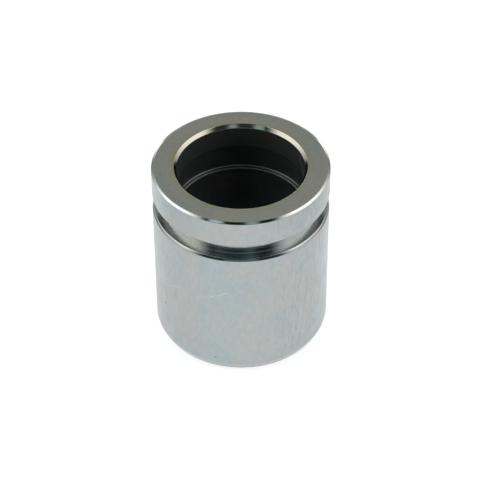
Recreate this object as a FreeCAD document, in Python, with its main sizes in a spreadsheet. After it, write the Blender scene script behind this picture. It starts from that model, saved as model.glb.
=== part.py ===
import FreeCAD, Part

import enum
import math
import os

import Sketcher

# Brake caliper piston
# A one-piece steel cup, turned all over, that stands on its closed crown with its mouth up.
# The origin is the centre of the crown's outer face, and +Z runs up the axis to the mouth.
# A brake pad bears on the flat annulus round the mouth. Below the rim band a square groove
# holds the bead of the dust boot, and below that the plain skirt slides in the seal.
# Inside, the mouth's land is narrower than the undercut behind it, where the pad's spring
# clip snaps out, and a ledge steps the undercut in again to the plain bore.

doc = FreeCAD.newDocument("brake_caliper_piston")

# Driving dimensions, in millimetres
SIZES = [
    ("skirt_diameter", 54.0),         # outside of the skirt and of the rim band
    ("total_height", 60.0),           # crown face to mouth face
    ("crown_thickness", 8.0),         # closed end, outer face to bore floor
    ("crown_chamfer_width", 1.0),     # lead-in at the closed end, across the radius
    ("crown_chamfer_length", 2.2),    # the same, along the axis
    ("rim_chamfer_width", 0.8),       # outer edge of the mouth face, across the radius
    ("rim_chamfer_length", 0.45),     # the same, along the axis
    ("rim_band_length", 8.9),         # mouth face to the boot groove
    ("groove_length", 5.3),           # boot groove, along the axis
    ("groove_depth", 3.1),            # boot groove, across the radius
    ("groove_root_radius", 0.25),     # both inner corners of the boot groove
    ("lip_chamfer_width", 0.45),      # skirt's upper edge under the groove, across the radius
    ("lip_chamfer_length", 0.75),     # the same, along the axis
    ("groove_wall", 3.1),             # wall left between the boot groove and the undercut
    ("undercut_relief", 1.4),         # how far the undercut reaches out behind the mouth land
    ("ledge_width", 1.2),             # step from the undercut in to the plain bore
    ("land_length", 8.3),             # mouth face to the undercut
    ("undercut_length", 8.7),         # undercut, along the axis
    ("undercut_root_width", 0.4),     # 45 degree corners of the undercut, across the radius
    ("mouth_chamfer_width", 0.85),    # inner edge of the mouth face, across the radius
    ("mouth_chamfer_length", 1.1),    # the same, along the axis
    ("floor_radius", 3.5),            # corner between the bore and its floor
    ("edge_break", 0.3),              # taken off the land's, ledge's and rim band's sharp edges
]

sheet = doc.addObject("Spreadsheet::Sheet", "Sizes")
for row, (alias, value) in enumerate(SIZES, start=1):
    sheet.set("A%d" % row, alias)
    sheet.set("B%d" % row, str(value))
    sheet.setAlias("B%d" % row, alias)
doc.recompute()

# Radii and heights that the sections share, each worked out from the driving dimensions
SKIRT = "(Sizes.skirt_diameter / 2)"
GROOVE_FLOOR = "(%s - Sizes.groove_depth)" % SKIRT
UNDERCUT = "(%s - Sizes.groove_wall)" % GROOVE_FLOOR
MOUTH = "(%s - Sizes.undercut_relief)" % UNDERCUT
BORE = "(%s - Sizes.ledge_width)" % UNDERCUT
MOUTH_FACE = "Sizes.total_height"
GROOVE_TOP = "(%s - Sizes.rim_band_length)" % MOUTH_FACE
GROOVE_BOTTOM = "(%s - Sizes.groove_length)" % GROOVE_TOP
LAND_END = "(%s - Sizes.land_length)" % MOUTH_FACE
LEDGE = "(%s - Sizes.undercut_length)" % LAND_END
FLOOR = "Sizes.crown_thickness"
ON_AXIS = "0"
AT_CROWN = "0"

FULL_TURN_DEGREES = 360
SAME_RING_TOLERANCE = 1e-4


class End(enum.IntEnum):
    """The numbers by which a sketch knows a line's two ends."""
    FIRST = 1
    LAST = 2


class Axis(enum.IntEnum):
    """The numbers by which a sketch knows its own two axes."""
    RADIUS = -1
    HEIGHT = -2


def size_of(expression):
    """The present value of a size expression, in millimetres."""
    return float(sheet.evalExpression(expression))


def half_section_plane(body):
    """The body's own plane through its axis."""
    return next(plane for plane in body.Origin.OriginFeatures if plane.Role == "XZ_Plane")


def hold_corner(sketch, line, direction, axis, expression, label):
    """Hold a line's first point on an axis, or at a size measured from the origin."""
    corner = (line, End.FIRST)
    origin = (Axis.RADIUS, End.FIRST)
    size = size_of(expression)
    if size == 0:
        sketch.addConstraint(Sketcher.Constraint("PointOnObject", *corner, axis))
        return
    index = sketch.addConstraint(Sketcher.Constraint(direction, *origin, *corner, size))
    sketch.renameConstraint(index, label)
    sketch.setExpression("Constraints." + label, expression)


def half_section(body, name, corners):
    """A closed outline beside the axis, with each corner held at its radius and height."""
    sketch = body.newObject("Sketcher::SketchObject", name)
    sketch.AttachmentSupport = [(half_section_plane(body), "")]
    sketch.MapMode = "FlatFace"
    points = [FreeCAD.Vector(size_of(radius), size_of(height), 0) for _, radius, height in corners]
    count = len(points)
    for line in range(count):
        sketch.addGeometry(Part.LineSegment(points[line], points[(line + 1) % count]), False)
    for line in range(count):
        this_end = (line, End.LAST)
        next_start = ((line + 1) % count, End.FIRST)
        sketch.addConstraint(Sketcher.Constraint("Coincident", *this_end, *next_start))
    for line, (corner, radius, height) in enumerate(corners):
        hold_corner(sketch, line, "DistanceX", Axis.HEIGHT, radius, corner + "_radius")
        hold_corner(sketch, line, "DistanceY", Axis.RADIUS, height, corner + "_height")
    doc.recompute()
    return sketch


def turned(body, kind, name, section):
    """Turn a half section once round the axis, as added or removed metal."""
    before = body.Shape.Volume if body.Tip else 0
    feature = body.newObject(kind, name)
    feature.Profile = section
    feature.ReferenceAxis = (section, ["V_Axis"])
    feature.Angle = FULL_TURN_DEGREES
    doc.recompute()
    grew = body.Shape.Volume > before
    if grew != (kind == "PartDesign::Revolution"):
        raise RuntimeError("%s did not change the metal as it should" % name)
    return feature


def rings(shape, places):
    """Names of the circular edges at the given radii and heights."""
    names = []
    for radius, height in places:
        for number, edge in enumerate(shape.Edges, start=1):
            curve = edge.Curve
            if not isinstance(curve, Part.Circle):
                continue
            on_radius = math.isclose(curve.Radius, size_of(radius), abs_tol=SAME_RING_TOLERANCE)
            on_height = math.isclose(curve.Center.z, size_of(height), abs_tol=SAME_RING_TOLERANCE)
            if on_radius and on_height:
                names.append("Edge%d" % number)
    if len(names) < len(places):
        raise RuntimeError("an edge to be dressed is missing")
    return names


def dressed(body, kind, name, size_name, size, places):
    """Dress the circular edges at the given places, with a fillet or an even chamfer."""
    base = body.Tip
    feature = body.newObject(kind, name)
    feature.Base = (base, rings(base.Shape, places))
    feature.setExpression(size_name, size)
    doc.recompute()
    return feature


def rounded(body, name, radius, places):
    """Round the circular edges at the given places."""
    return dressed(body, "PartDesign::Fillet", name, "Radius", radius, places)


def chamfered(body, name, width, places):
    """Take the circular edges at the given places off at 45 degrees."""
    return dressed(body, "PartDesign::Chamfer", name, "Size", width, places)


# Piston
piston = doc.addObject("PartDesign::Body", "piston_body")
piston.Label = "piston"
piston.Placement = FreeCAD.Placement(FreeCAD.Vector(0, 0, 0), FreeCAD.Rotation())

# Turned blank, with the lead-in chamfer at the crown and the chamfer round the mouth face
blank_section = half_section(piston, "blank_section", [
    ("crown_centre", ON_AXIS, AT_CROWN),
    ("crown_edge", SKIRT + " - Sizes.crown_chamfer_width", AT_CROWN),
    ("skirt_foot", SKIRT, "Sizes.crown_chamfer_length"),
    ("rim_edge", SKIRT, MOUTH_FACE + " - Sizes.rim_chamfer_length"),
    ("face_edge", SKIRT + " - Sizes.rim_chamfer_width", MOUTH_FACE),
    ("face_centre", ON_AXIS, MOUTH_FACE),
])
turned(piston, "PartDesign::Revolution", "turned_blank", blank_section)

# Bore: chamfered mouth, narrow land, wider undercut behind it, ledge, plain bore and floor
bore_section = half_section(piston, "bore_section", [
    ("floor_centre", ON_AXIS, FLOOR),
    ("floor_edge", BORE, FLOOR),
    ("ledge_inner", BORE, LEDGE),
    ("ledge_outer", UNDERCUT, LEDGE),
    ("undercut_top", UNDERCUT, LAND_END),
    ("land_foot", MOUTH, LAND_END),
    ("land_top", MOUTH, MOUTH_FACE + " - Sizes.mouth_chamfer_length"),
    ("mouth_edge", MOUTH + " + Sizes.mouth_chamfer_width", MOUTH_FACE),
    ("mouth_centre", ON_AXIS, MOUTH_FACE),
])
turned(piston, "PartDesign::Groove", "stepped_bore", bore_section)

# Boot groove: square, with the skirt's upper edge chamfered so that the boot's bead rolls in.
# The section reaches past the skirt by the groove's own depth, so that nothing is left standing.
outside = SKIRT + " + Sizes.groove_depth"
lip_foot = GROOVE_BOTTOM + " - Sizes.lip_chamfer_length"
groove_section = half_section(piston, "boot_groove_section", [
    ("root_top", GROOVE_FLOOR, GROOVE_TOP),
    ("root_bottom", GROOVE_FLOOR, GROOVE_BOTTOM),
    ("lip_inner", SKIRT + " - Sizes.lip_chamfer_width", GROOVE_BOTTOM),
    ("lip_outer", SKIRT, lip_foot),
    ("clear_bottom", outside, lip_foot),
    ("clear_top", outside, GROOVE_TOP),
])
turned(piston, "PartDesign::Groove", "boot_groove", groove_section)

# Round roots, each held within half of the step that it sits in
rounded(piston, "groove_roots",
        "min(Sizes.groove_root_radius; Sizes.groove_depth / 2; Sizes.groove_length / 3)",
        [(GROOVE_FLOOR, GROOVE_TOP), (GROOVE_FLOOR, GROOVE_BOTTOM)])
rounded(piston, "floor_corner",
        "min(Sizes.floor_radius; %s / 2)" % BORE,
        [(BORE, FLOOR)])

# The undercut's corners run out at 45 degrees, as the grooving tool leaves them
chamfered(piston, "undercut_roots",
          "min(Sizes.undercut_root_width; Sizes.ledge_width / 2; Sizes.undercut_relief / 2)",
          [(UNDERCUT, LAND_END), (UNDERCUT, LEDGE)])

# Sharp edges taken off where the boot, the clip or a hand would meet them
chamfered(piston, "edge_breaks",
          "min(Sizes.edge_break; Sizes.ledge_width / 4; Sizes.undercut_relief / 4)",
          [(SKIRT, GROOVE_TOP), (MOUTH, LAND_END), (BORE, LEDGE)])

doc.recompute()

# Every feature has to be sound before anything is written
for feature in doc.Objects:
    if "Invalid" in feature.State or "Error" in feature.State:
        raise RuntimeError("%s is not sound: %s" % (feature.Name, feature.State))

os.makedirs("parts", exist_ok=True)
for sub_part in [piston]:
    shape = sub_part.Shape
    if shape.isNull() or not shape.isValid() or len(shape.Solids) != 1:
        raise RuntimeError("%s is not one valid solid" % sub_part.Label)
    shape.exportStep(os.path.join("parts", sub_part.Label + ".step"))
    print(sub_part.Label, "volume %.1f mm3" % shape.Volume)
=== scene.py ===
import math

import bmesh
import bpy
from mathutils import Matrix, Vector


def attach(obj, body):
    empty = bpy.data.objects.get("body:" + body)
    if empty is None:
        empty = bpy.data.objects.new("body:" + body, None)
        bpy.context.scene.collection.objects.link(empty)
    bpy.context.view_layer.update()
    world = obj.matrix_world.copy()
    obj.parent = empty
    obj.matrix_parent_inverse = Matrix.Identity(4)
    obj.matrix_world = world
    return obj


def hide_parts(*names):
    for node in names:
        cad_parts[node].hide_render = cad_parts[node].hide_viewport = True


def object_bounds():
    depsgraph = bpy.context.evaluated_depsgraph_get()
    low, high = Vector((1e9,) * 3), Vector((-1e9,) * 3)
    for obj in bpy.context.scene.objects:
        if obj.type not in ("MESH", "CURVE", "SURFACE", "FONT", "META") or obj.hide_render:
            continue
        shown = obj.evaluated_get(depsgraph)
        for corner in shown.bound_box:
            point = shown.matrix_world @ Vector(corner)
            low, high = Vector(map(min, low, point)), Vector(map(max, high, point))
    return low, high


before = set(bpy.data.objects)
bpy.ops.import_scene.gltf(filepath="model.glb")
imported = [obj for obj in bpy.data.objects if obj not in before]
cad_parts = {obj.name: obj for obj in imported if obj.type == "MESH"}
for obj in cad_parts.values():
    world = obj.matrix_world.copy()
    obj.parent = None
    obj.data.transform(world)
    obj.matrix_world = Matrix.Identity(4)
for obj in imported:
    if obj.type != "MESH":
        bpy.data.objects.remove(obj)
cad_low, cad_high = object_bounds()

# Piston cup
# One steel cup, turned all over on a lathe and zinc plated. Its outline is drawn as half a
# section, from the middle of the closed crown, up the skirt, round the mouth and down the
# bore to its floor, and turned once round the axis.
mm = 0.001
skirt_radius = min(cad_high.x, cad_high.y)
total_height = cad_high.z
crown_thickness = 8.0 * mm
crown_chamfer_width = 1.0 * mm
crown_chamfer_length = 2.2 * mm
rim_chamfer_width = 0.8 * mm
rim_chamfer_length = 0.45 * mm
rim_band_length = 8.9 * mm
groove_length = 5.3 * mm
groove_depth = 3.1 * mm
lip_chamfer_width = 0.45 * mm
lip_chamfer_length = 0.75 * mm
groove_wall = 3.1 * mm
undercut_relief = 1.4 * mm
ledge_width = 1.2 * mm
land_length = 8.3 * mm
undercut_length = 8.7 * mm
mouth_chamfer_width = 0.85 * mm
mouth_chamfer_length = 1.1 * mm

groove_radius = skirt_radius - groove_depth
undercut_radius = groove_radius - groove_wall
mouth_radius = undercut_radius - undercut_relief
bore_radius = undercut_radius - ledge_width
groove_top = total_height - rim_band_length
groove_bottom = groove_top - groove_length
land_end = total_height - land_length
ledge_height = land_end - undercut_length

# Each corner of the half section: radius, height, and how large its rounding is
outline = [
    (0, 0, 0),
    (skirt_radius - crown_chamfer_width, 0, 0.3 * mm),
    (skirt_radius, crown_chamfer_length, 0.8 * mm),
    (skirt_radius, groove_bottom - lip_chamfer_length, 0.12 * mm),
    (skirt_radius - lip_chamfer_width, groove_bottom, 0.12 * mm),
    (groove_radius, groove_bottom, 0.15 * mm),
    (groove_radius, groove_top, 0.15 * mm),
    (skirt_radius, groove_top, 0.3 * mm),
    (skirt_radius, total_height - rim_chamfer_length, 0.1 * mm),
    (skirt_radius - rim_chamfer_width, total_height, 0.1 * mm),
    (mouth_radius + mouth_chamfer_width, total_height, 0.12 * mm),
    (mouth_radius, total_height - mouth_chamfer_length, 0.12 * mm),
    (mouth_radius, land_end, 0.25 * mm),
    (undercut_radius, land_end, 0.4 * mm),
    (undercut_radius, ledge_height, 0.4 * mm),
    (bore_radius, ledge_height, 0.2 * mm),
    (bore_radius, crown_thickness, 3.5 * mm),
    (0, crown_thickness, 0),
]
rounding_segments = 6
longest_piece = 1.6 * mm
turn_steps = 240
weld_distance = 0.002 * mm

half_section = bmesh.new()
corners = [half_section.verts.new((radius, 0, height)) for radius, height, _ in outline]
for here, there in zip(corners, corners[1:]):
    half_section.edges.new((here, there))
for corner, (_, _, rounding) in zip(corners, outline):
    if rounding:
        bmesh.ops.bevel(half_section, geom=[corner], offset=rounding, offset_type="OFFSET",
                        affect="VERTICES", segments=rounding_segments, profile=0.5, material=-1)
for edge in list(half_section.edges):
    cuts = math.floor(edge.calc_length() / longest_piece)
    if cuts:
        bmesh.ops.subdivide_edges(half_section, edges=[edge], cuts=cuts)
bmesh.ops.spin(half_section, geom=half_section.verts[:] + half_section.edges[:], cent=(0, 0, 0),
               axis=(0, 0, 1), dvec=(0, 0, 0), angle=math.tau, steps=turn_steps,
               use_merge=True, use_normal_flip=False, use_duplicate=False)
bmesh.ops.remove_doubles(half_section, verts=half_section.verts, dist=weld_distance)
bmesh.ops.recalc_face_normals(half_section, faces=half_section.faces)

# Which tool left each surface
SKIRT, FACE, CHAMFERS, GROOVE, BORE = range(5)
wall_margin = 0.3 * mm
face_margin = 0.03 * mm
level_enough = 0.99
for face in half_section.faces:
    centre = face.calc_center_median()
    radius = math.hypot(centre.x, centre.y)
    face.smooth = True
    in_bore = radius < undercut_radius + wall_margin
    at_end_face = min(centre.z, total_height - centre.z) < face_margin
    if in_bore and crown_thickness - wall_margin < centre.z < total_height - mouth_chamfer_length:
        face.material_index = BORE
    elif at_end_face and abs(face.normal.z) > level_enough:
        face.material_index = FACE
    elif centre.z > total_height - rim_chamfer_length or in_bore and centre.z > ledge_height:
        face.material_index = CHAMFERS
    elif radius < skirt_radius - face_margin and centre.z > groove_bottom:
        face.material_index = GROOVE if centre.z < groove_top + face_margin else SKIRT
    elif groove_bottom - lip_chamfer_length < centre.z < groove_bottom + face_margin:
        face.material_index = GROOVE if radius < skirt_radius - lip_chamfer_width else CHAMFERS
    elif centre.z < crown_chamfer_length:
        face.material_index = CHAMFERS
cup_mesh = bpy.data.meshes.new("piston_cup")
half_section.to_mesh(cup_mesh)
half_section.free()
cup = bpy.data.objects.new("piston_cup", cup_mesh)
bpy.context.collection.objects.link(cup)
flats = cup.modifiers.new("true_flats", "WEIGHTED_NORMAL")
flats.mode = "FACE_AREA"
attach(cup, "root")
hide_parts("piston")


def add_node(tree, kind, inputs, **settings):
    """Add a node with its settings, and link or set each of its inputs."""
    node = tree.nodes.new("ShaderNode" + kind)
    for name, value in settings.items():
        setattr(node, name, value)
    for name, value in inputs.items():
        if isinstance(value, bpy.types.NodeSocket):
            tree.links.new(value, node.inputs[name])
        else:
            node.inputs[name].default_value = value
    return node


def worked_out(tree, operation, *terms):
    return add_node(tree, "Math", dict(enumerate(terms)), operation=operation).outputs[0]


def fade(tree, value, start, end):
    """Rise smoothly from 0 where the value is at its start to 1 where it is at its end."""
    limits = {"Value": value, "From Min": start, "From Max": end}
    return add_node(tree, "MapRange", limits, interpolation_type="SMOOTHSTEP").outputs["Result"]


def blended(tree, factor, under, over):
    colours = {"Factor": factor, "A": under, "B": over}
    return add_node(tree, "Mix", colours, data_type="RGBA").outputs["Result"]


def scaled(tree, vector, factor):
    """A vector or a colour, times a factor."""
    terms = {0: vector, "Scale": factor}
    return add_node(tree, "VectorMath", terms, operation="SCALE").outputs["Vector"]


def along(tree, vector, direction):
    """How far a vector reaches along a direction."""
    terms = {0: vector, 1: direction}
    return add_node(tree, "VectorMath", terms, operation="DOT_PRODUCT").outputs["Value"]


def distance(tree, here, there):
    terms = {0: here, 1: there}
    return add_node(tree, "VectorMath", terms, operation="DISTANCE").outputs["Value"]


def in_millimetres(tree):
    """The place on the piston, in millimetres from the middle of the crown's outer face."""
    return scaled(tree, add_node(tree, "TexCoord", {}).outputs["Object"], 1 / mm)


def radius_and_height(tree, place):
    flat = add_node(tree, "VectorMath", {0: place, 1: (1, 1, 0)}, operation="MULTIPLY")
    radius = add_node(tree, "VectorMath", {0: flat.outputs["Vector"]}, operation="LENGTH")
    height = add_node(tree, "SeparateXYZ", {"Vector": place}).outputs["Z"]
    return radius.outputs["Value"], height


def noise(tree, place, across, along_axis, detail):
    """Noise whose blotches are so many millimetres across and so many along the axis."""
    stretch = {0: place, 1: (1 / across, 1 / across, 1 / along_axis)}
    vector = add_node(tree, "VectorMath", stretch, operation="MULTIPLY").outputs["Vector"]
    settings = {"Vector": vector, "Scale": 1, "Detail": detail, "Roughness": 0.55}
    return add_node(tree, "TexNoise", settings).outputs["Fac"]


def new_group(name, inputs, outputs):
    """An empty shader group with named sockets, and its two end nodes."""
    group = bpy.data.node_groups.new(name, "ShaderNodeTree")
    for direction, sockets in (("INPUT", inputs), ("OUTPUT", outputs)):
        for socket, kind in sockets.items():
            group.interface.new_socket(socket, in_out=direction, socket_type="NodeSocket" + kind)
    given = group.nodes.new("NodeGroupInput").outputs
    result = group.nodes.new("NodeGroupOutput").inputs
    return group, given, result


# Plating: zinc settles in soft clouds, a cool and a warm grey, with a finer mottle over them
plating, given, result = new_group(
    "zinc_clouds",
    {"Cool": "Color", "Warm": "Color", "Mottle": "Float"},
    {"Colour": "Color", "Cloud": "Float"})
place = in_millimetres(plating)
cloud = fade(plating, noise(plating, place, across=11, along_axis=14, detail=3), 0.36, 0.64)
mottle = fade(plating, noise(plating, place, across=1.3, along_axis=2.2, detail=3), 0.3, 0.7)
fine = fade(plating, noise(plating, place, across=0.35, along_axis=0.5, detail=2), 0.3, 0.7)
fine_share = 0.5
middle_of_both = 0.75
both = worked_out(plating, "MULTIPLY_ADD", fine, fine_share, mottle)
around_nought = worked_out(plating, "SUBTRACT", both, middle_of_both)
depth = worked_out(plating, "MULTIPLY_ADD", around_nought, given["Mottle"], 1)
clouded = blended(plating, cloud, given["Cool"], given["Warm"])
plating.links.new(scaled(plating, clouded, depth), result["Colour"])
plating.links.new(cloud, result["Cloud"])

# Tool marks: the fine rings that a lathe tool leaves, across whichever distance it is given
tooling, given, result = new_group(
    "tool_marks",
    {"Distance": "Float", "Pitch": "Float"},
    {"Height": "Float"})
rings_passed = worked_out(tooling, "DIVIDE", given["Distance"], given["Pitch"])
marks = {"W": rings_passed, "Scale": 1, "Detail": 4, "Roughness": 0.6}
rings = add_node(tooling, "TexNoise", marks, noise_dimensions="1D").outputs["Fac"]
tooling.links.new(rings, result["Height"])


def metal(name):
    material = bpy.data.materials.new(name)
    material.use_nodes = True
    tree = material.node_tree
    shader = tree.nodes["Principled BSDF"].inputs
    shader["Metallic"].default_value = 1
    cup_mesh.materials.append(material)
    return tree, shader


def use_group(tree, group, inputs):
    return add_node(tree, "Group", inputs, node_tree=group).outputs


def bump(tree, height, depth):
    heights = {"Height": height, "Distance": depth}
    return add_node(tree, "Bump", heights).outputs["Normal"]


# Skirt and rim band: ground, then plated, so the zinc's clouds show on plain satin metal
tree, shader = metal("plated_skirt")
place = in_millimetres(tree)
_, height = radius_and_height(tree, place)
zinc = use_group(tree, plating, {
    "Cool": (0.4, 0.457, 0.474, 1),
    "Warm": (0.45, 0.477, 0.468, 1),
    "Mottle": 0.07})


def on_skirt(azimuth, height):
    """A place on the skirt, in millimetres. Azimuth 0 is the front, and 90 the right."""
    angle = math.radians(azimuth)
    reach = skirt_radius / mm
    return Vector((reach * math.sin(angle), -reach * math.cos(angle), height))


def wiped_side(azimuth, inner, outer):
    """1 round the given azimuth of the skirt, fading out between two angles from it."""
    cosine = along(tree, place, on_skirt(azimuth, 0) / (skirt_radius / mm) ** 2)
    return fade(tree, cosine, math.cos(math.radians(outer)), math.cos(math.radians(inner)))


# Wipe marks run down both sides, where the wet plating drained
streaks = noise(tree, place, across=0.9, along_axis=4, detail=4)
light_streaks = fade(tree, streaks, 0.5, 0.75)
dark_streaks = fade(tree, streaks, 0.5, 0.25)
right_side = wiped_side(50, 8, 38)
left_side = wiped_side(-68, 8, 30)
wiped = worked_out(tree, "MAXIMUM", right_side, left_side)
colour = zinc["Colour"]
for streak, shade in [(light_streaks, (0.5, 0.515, 0.505, 1)), (dark_streaks, (0.37, 0.4, 0.4, 1))]:
    colour = blended(tree, worked_out(tree, "MULTIPLY", streak, wiped), colour, shade)


def scratch(start, end, half_width, strength):
    """How much of a straight hairline scratch there is, with its ends thinned out."""
    first, last = on_skirt(*start), on_skirt(*end)
    run = last - first
    offset = add_node(tree, "VectorMath", {0: place, 1: first}, operation="SUBTRACT")
    offset = offset.outputs["Vector"]
    share = add_node(tree, "Clamp", {"Value": along(tree, offset, run / run.length_squared)})
    share = share.outputs["Result"]
    line = fade(tree, distance(tree, offset, scaled(tree, run, share)), half_width, 0)
    middle = worked_out(tree, "SINE", worked_out(tree, "MULTIPLY", share, math.pi))
    return worked_out(tree, "MULTIPLY", worked_out(tree, "MULTIPLY", line, middle), strength)


# Handling scratches in the plating, where they are on the real skirt. Each runs from one
# azimuth and height to another, and has half a width in millimetres and a strength.
rubbed = 0
for start, end, half_width, strength in [
        ((-21, 29.5), (-14.5, 30.8), 0.55, 0.9),
        ((-15.5, 30.5), (-8.5, 32.6), 0.6, 0.9),
        ((-31, 27.8), (-20, 29.3), 0.4, 0.5),
        ((-62, 23.8), (-50, 26.3), 0.5, 0.8),
        ((-52, 26.0), (-42, 28.8), 0.5, 0.85)]:
    rubbed = worked_out(tree, "MAXIMUM", rubbed, scratch(start, end, half_width, strength))
grain = fade(tree, noise(tree, place, across=0.6, along_axis=0.6, detail=2), 0.35, 0.6)
rubbed = worked_out(tree, "MULTIPLY", rubbed, grain)
colour = blended(tree, rubbed, colour, (0.62, 0.64, 0.64, 1))

# Dark specks: azimuth and height, radius in millimetres and strength
specks = 0
for speck, size, strength in [((-61, 15.9), 0.6, 0.85), ((-17.7, 4.5), 0.45, 0.5),
                              ((-65.4, 10.1), 0.4, 0.3)]:
    spot = fade(tree, distance(tree, place, on_skirt(*speck)), size, size / 4)
    specks = worked_out(tree, "MAXIMUM", specks, worked_out(tree, "MULTIPLY", spot, strength))
colour = blended(tree, specks, colour, (0.12, 0.13, 0.13, 1))
tree.links.new(colour, shader["Base Color"])
rough = worked_out(tree, "MULTIPLY_ADD", zinc["Cloud"], 0.08, 0.27)
rough = worked_out(tree, "MULTIPLY_ADD", rubbed, 0.15, rough)
tree.links.new(rough, shader["Roughness"])
grinding = use_group(tree, tooling, {"Distance": height, "Pitch": 0.25})
tree.links.new(bump(tree, grinding["Height"], 0.004 * mm), shader["Normal"])

# Mouth face: faced off in fine rings, with the plating gone golden round its inner edge
tree, shader = metal("faced_mouth")
place = in_millimetres(tree)
radius, height = radius_and_height(tree, place)
zinc = use_group(tree, plating, {
    "Cool": (0.42, 0.452, 0.435, 1),
    "Warm": (0.45, 0.462, 0.425, 1),
    "Mottle": 0.06})
inner_edge = (mouth_radius + mouth_chamfer_width) / mm
tint_width = 2.2
tint = fade(tree, radius, inner_edge + tint_width, inner_edge)
tint = worked_out(tree, "MULTIPLY", tint, fade(tree, height, land_end / mm, total_height / mm))
patches = fade(tree, noise(tree, place, across=9, along_axis=9, detail=2), 0.3, 0.6)
sideways = add_node(tree, "SeparateXYZ", {"Vector": place}).outputs["X"]
patches = worked_out(tree, "MULTIPLY", patches, fade(tree, sideways, 30, -24))
golden = worked_out(tree, "MULTIPLY", tint, worked_out(tree, "MULTIPLY_ADD", patches, 0.65, 0.35))
colour = blended(tree, golden, zinc["Colour"], (0.46, 0.42, 0.29, 1))
marks = use_group(tree, tooling, {"Distance": radius, "Pitch": 0.5})
lined = worked_out(tree, "MULTIPLY_ADD", fade(tree, marks["Height"], 0.3, 0.7), 0.1, 0.95)
tree.links.new(scaled(tree, colour, lined), shader["Base Color"])
tree.links.new(worked_out(tree, "MULTIPLY_ADD", zinc["Cloud"], 0.06, 0.2), shader["Roughness"])
tree.links.new(bump(tree, marks["Height"], 0.006 * mm), shader["Normal"])

# Chamfers: cut last with a keen tool, so they are the brightest, and warm inside the mouth.
# The one round the crown is painted dark at its foot, as painted contact shade where the piston
# stands on the floor.
tree, shader = metal("bright_chamfers")
place = in_millimetres(tree)
radius, height = radius_and_height(tree, place)
zinc = use_group(tree, plating, {
    "Cool": (0.44, 0.465, 0.46, 1),
    "Warm": (0.46, 0.47, 0.46, 1),
    "Mottle": 0.05})
inside = fade(tree, radius, inner_edge + 1, inner_edge + 0.5)
colour = blended(tree, inside, zinc["Colour"], (0.47, 0.45, 0.39, 1))
# Painted contact shade: the crown's chamfer goes dark below 0.9 mm of height, towards the floor
painted_foot_shade = fade(tree, height, 0.9, 0.3)
colour = blended(tree, painted_foot_shade, colour, (0.22, 0.23, 0.22, 1))
tree.links.new(colour, shader["Base Color"])
tree.links.new(worked_out(tree, "MULTIPLY_ADD", zinc["Cloud"], 0.03, 0.08), shader["Roughness"])
marks = use_group(tree, tooling, {"Distance": height, "Pitch": 0.12})
depth = worked_out(tree, "MULTIPLY_ADD", inside, 0.006 * mm, 0.0008 * mm)
cut = worked_out(tree, "MULTIPLY", marks["Height"], depth)
tree.links.new(bump(tree, cut, 1), shader["Normal"])

# Boot groove: plunged with a form tool, whose ring marks show in its walls
tree, shader = metal("turned_groove")
place = in_millimetres(tree)
radius, height = radius_and_height(tree, place)
zinc = use_group(tree, plating, {
    "Cool": (0.41, 0.445, 0.45, 1),
    "Warm": (0.45, 0.46, 0.43, 1),
    "Mottle": 0.08})
across = worked_out(tree, "ADD", radius, height)
marks = use_group(tree, tooling, {"Distance": across, "Pitch": 0.45})
dark_rings = fade(tree, marks["Height"], 0.45, 0.3)
light_rings = fade(tree, marks["Height"], 0.55, 0.7)
colour = zinc["Colour"]
for ring, shade in [(dark_rings, (0.3, 0.3, 0.27, 1)), (light_rings, (0.52, 0.51, 0.46, 1))]:
    colour = blended(tree, worked_out(tree, "MULTIPLY", ring, 0.5), colour, shade)
tree.links.new(colour, shader["Base Color"])
tree.links.new(worked_out(tree, "MULTIPLY_ADD", light_rings, 0.08, 0.16), shader["Roughness"])
tree.links.new(bump(tree, marks["Height"], 0.003 * mm), shader["Normal"])

# Bore: bored and left dull, under the dark film that hardly any plating reached. It is painted
# paler towards its floor, as painted light against the shade that deepens down the bore.
tree, shader = metal("dull_bore")
shader["Metallic"].default_value = 0.15
place = in_millimetres(tree)
radius, height = radius_and_height(tree, place)
zinc = use_group(tree, plating, {
    "Cool": (0.046, 0.057, 0.054, 1),
    "Warm": (0.058, 0.056, 0.051, 1),
    "Mottle": 0.06})
across = worked_out(tree, "ADD", radius, height)
marks = use_group(tree, tooling, {"Distance": across, "Pitch": 0.6})
lined = worked_out(tree, "MULTIPLY_ADD", fade(tree, marks["Height"], 0.3, 0.7), 0.2, 0.9)
# Painted light: up to five times paler from the ledge down to the floor
painted_deep_light = fade(tree, height, ledge_height / mm, crown_thickness / mm)
paler = worked_out(tree, "MULTIPLY", lined, worked_out(tree, "MULTIPLY_ADD", painted_deep_light, 4, 1))

# The ledge's two edges are painted up to six times paler, as painted highlights that show as fine
# lines with a dark flat between
ledge_middle = (bore_radius + undercut_radius) / 2 / mm
from_middle = worked_out(tree, "ABSOLUTE", worked_out(tree, "SUBTRACT", radius, ledge_middle))
from_ledge = worked_out(tree, "SUBTRACT", height, ledge_height / mm)
from_ledge = worked_out(tree, "ABSOLUTE", from_ledge)
at_either_side = fade(tree, from_middle, 0.3, 0.55)
painted_ledge_glints = worked_out(tree, "MULTIPLY", at_either_side, fade(tree, from_ledge, 0.45, 0.15))
glints_paler = worked_out(tree, "MULTIPLY_ADD", painted_ledge_glints, 5, 1)
paler = worked_out(tree, "MULTIPLY", paler, glints_paler)
tree.links.new(scaled(tree, zinc["Colour"], paler), shader["Base Color"])
tree.links.new(worked_out(tree, "MULTIPLY_ADD", zinc["Cloud"], 0.02, 0.13), shader["Roughness"])
tree.links.new(bump(tree, marks["Height"], 0.003 * mm), shader["Normal"])

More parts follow.
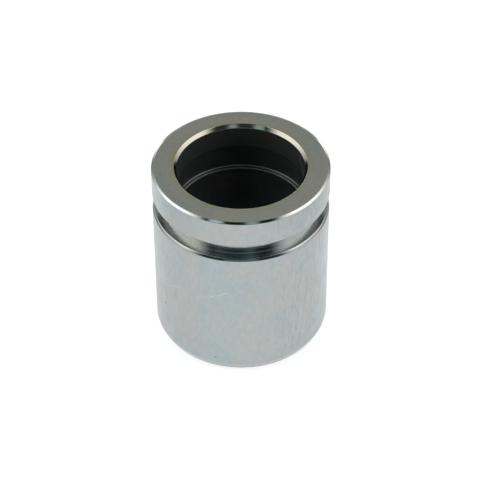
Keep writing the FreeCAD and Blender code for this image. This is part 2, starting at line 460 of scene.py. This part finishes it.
# Floor
# A plain sheet of white paper, far wider than the piston, a hair below its crown. It keeps the
# piston's shadow and shows white. The metal mirrors it white along a strip from front to back,
# and grey beside that strip.
floor_half_width = 3
below_crown = 0.02 * mm
floor_mesh = bpy.data.meshes.new("floor")
sheet = bmesh.new()
bmesh.ops.create_grid(sheet, x_segments=1, y_segments=1, size=floor_half_width)
sheet.to_mesh(floor_mesh)
sheet.free()
floor = bpy.data.objects.new("floor", floor_mesh)
floor.location.z = -below_crown
bpy.context.collection.objects.link(floor)
paper = bpy.data.materials.new("white_paper")
paper.use_nodes = True
tree = paper.node_tree
shader = tree.nodes["Principled BSDF"].inputs
shader["Base Color"].default_value = (0.34, 0.34, 0.34, 1)
shader["Roughness"].default_value = 0.9
shader["Specular IOR Level"].default_value = 0
shader["Emission Color"].default_value = (1, 1, 1, 1)
lit_strip, lit_strip_end = 85, 125
kept_beside = 0.25
glow = 0.82
path = add_node(tree, "LightPath", {}).outputs
sideways = add_node(tree, "SeparateXYZ", {"Vector": in_millimetres(tree)}).outputs["X"]
beside = fade(tree, worked_out(tree, "ABSOLUTE", sideways), lit_strip, lit_strip_end)
mirrored = worked_out(tree, "MULTIPLY_ADD", beside, kept_beside - 1, 1)
mirrored = worked_out(tree, "MULTIPLY", mirrored, path["Is Glossy Ray"])
looked_at = worked_out(tree, "MAXIMUM", path["Is Camera Ray"], mirrored)
looked_at = worked_out(tree, "MAXIMUM", looked_at, path["Is Transmission Ray"])
tree.links.new(worked_out(tree, "MULTIPLY", looked_at, glow), shader["Emission Strength"])
floor_mesh.materials.append(paper)

# Studio
# A grey room with a dark ceiling, a large soft light on each side, and white card low down
# behind the piston. The end behind the camera is dark, with a teal shade and bluish panes.
world = bpy.data.worlds.new("studio")
bpy.context.scene.world = world
world.use_nodes = True
tree = world.node_tree
heading = add_node(tree, "TexCoord", {}).outputs["Generated"]
parts = add_node(tree, "SeparateXYZ", {"Vector": heading}).outputs
azimuth = worked_out(tree, "ARCTAN2", parts["X"], worked_out(tree, "MULTIPLY", parts["Y"], -1))
azimuth = worked_out(tree, "DEGREES", azimuth)
elevation = worked_out(tree, "DEGREES", worked_out(tree, "ARCSINE", parts["Z"]))
from_front = worked_out(tree, "ABSOLUTE", azimuth)


def patch(under, colour, *edges):
    """Fill a patch of the room. Each edge is the angle it follows, where the patch starts to
    show and where it is full, in degrees. Azimuth 0 is the camera's side, and 90 the right."""
    mask = 1
    for angle, start, full in edges:
        mask = worked_out(tree, "MULTIPLY", mask, fade(tree, angle, start, full))
    return blended(tree, mask, under, colour)


def disc(under, colour, direction, inner, outer):
    """Fill a round patch of the room, from its inner to its outer angle, in degrees."""
    cosine = along(tree, heading, Vector(direction).normalized())
    mask = fade(tree, cosine, math.cos(math.radians(outer)), math.cos(math.radians(inner)))
    return blended(tree, mask, under, colour)


def aim(azimuth, elevation):
    a, e = math.radians(azimuth), math.radians(elevation)
    return (math.sin(a) * math.cos(e), -math.cos(a) * math.cos(e), math.sin(e))


low_wall = (0.385, 0.385, 0.35, 1)
high_wall = (0.455, 0.46, 0.425, 1)
ceiling = (0.012, 0.02, 0.02, 1)
dark_end = (0.03, 0.042, 0.042, 1)
teal_shade = (0.055, 0.14, 0.165, 1)
low_window = (0.15, 0.28, 0.34, 1)
dim_pane = (0.42, 0.6, 0.6, 1)
bright_pane = (0.72, 0.98, 0.95, 1)
studio = blended(tree, fade(tree, elevation, 32, 50), low_wall, high_wall)
studio = disc(studio, ceiling, aim(0, 80), 20, 27)
studio = patch(studio, dark_end, (azimuth, -85, -73), (azimuth, 80, 68),
               (elevation, 3, 15), (elevation, 72, 60))
studio = patch(studio, teal_shade, (azimuth, -30, -18), (azimuth, 30, 18),
               (elevation, 38, 44), (elevation, 56, 50))
studio = disc(studio, dim_pane, aim(-32, 32), 5, 10)
studio = disc(studio, dim_pane, aim(13, 33), 4, 9)
studio = patch(studio, low_window, (azimuth, -23, -15), (azimuth, 23, 15),
               (elevation, 8, 16), (elevation, 27, 19))
left_skylight = (-0.265, -0.124, 0.955)
right_skylight = (0.12, -0.165, 0.978)
studio = disc(studio, bright_pane, left_skylight, 2.7, 5.6)
studio = disc(studio, dim_pane, right_skylight, 2.5, 5.1)

# The soft lights glow more in their upper half, and fade out towards the back of the room
lower_half = (1.7, 1.7, 1.7, 1)
upper_half = (2.2, 2.2, 2.2, 1)
soft_light = blended(tree, fade(tree, elevation, 35, 45), lower_half, upper_half)
studio = patch(studio, soft_light, (azimuth, 43, 70), (azimuth, 145, 118),
               (elevation, -6, 20), (elevation, 70, 57))
studio = patch(studio, soft_light, (azimuth, -44, -73), (azimuth, -145, -118),
               (elevation, -6, 20), (elevation, 68, 56))

# White card stands behind the piston, and lower card in front of it and at its sides
far_card = (2, 2, 2, 1)
near_card = (1, 1, 1, 1)
studio = patch(studio, far_card, (from_front, 145, 158), (elevation, 15, 8))
studio = patch(studio, near_card, (from_front, 118, 106), (elevation, 4, 0))
tree.links.new(studio, tree.nodes["Background"].inputs["Color"])

# Camera
# It stands in front of the piston and looks down into the mouth, from as far off as a long lens
# needs, with the piston in the middle of the picture.
camera_data = bpy.data.cameras.new("camera")
camera_data.sensor_width = 36
camera_data.lens = 141.55
camera = bpy.data.objects.new("camera", camera_data)
bpy.context.collection.objects.link(camera)
bpy.context.scene.camera = camera
camera_place = Vector((-0.000367, -0.4399, total_height + 0.35771))
looking_down = math.radians(90 - 41.39)
roll = -0.0066
camera.matrix_world = (Matrix.Translation(camera_place) @ Matrix.Rotation(looking_down, 4, "X")
                       @ Matrix.Rotation(roll, 4, "Z"))
bpy.context.scene.view_settings.view_transform = "Standard"
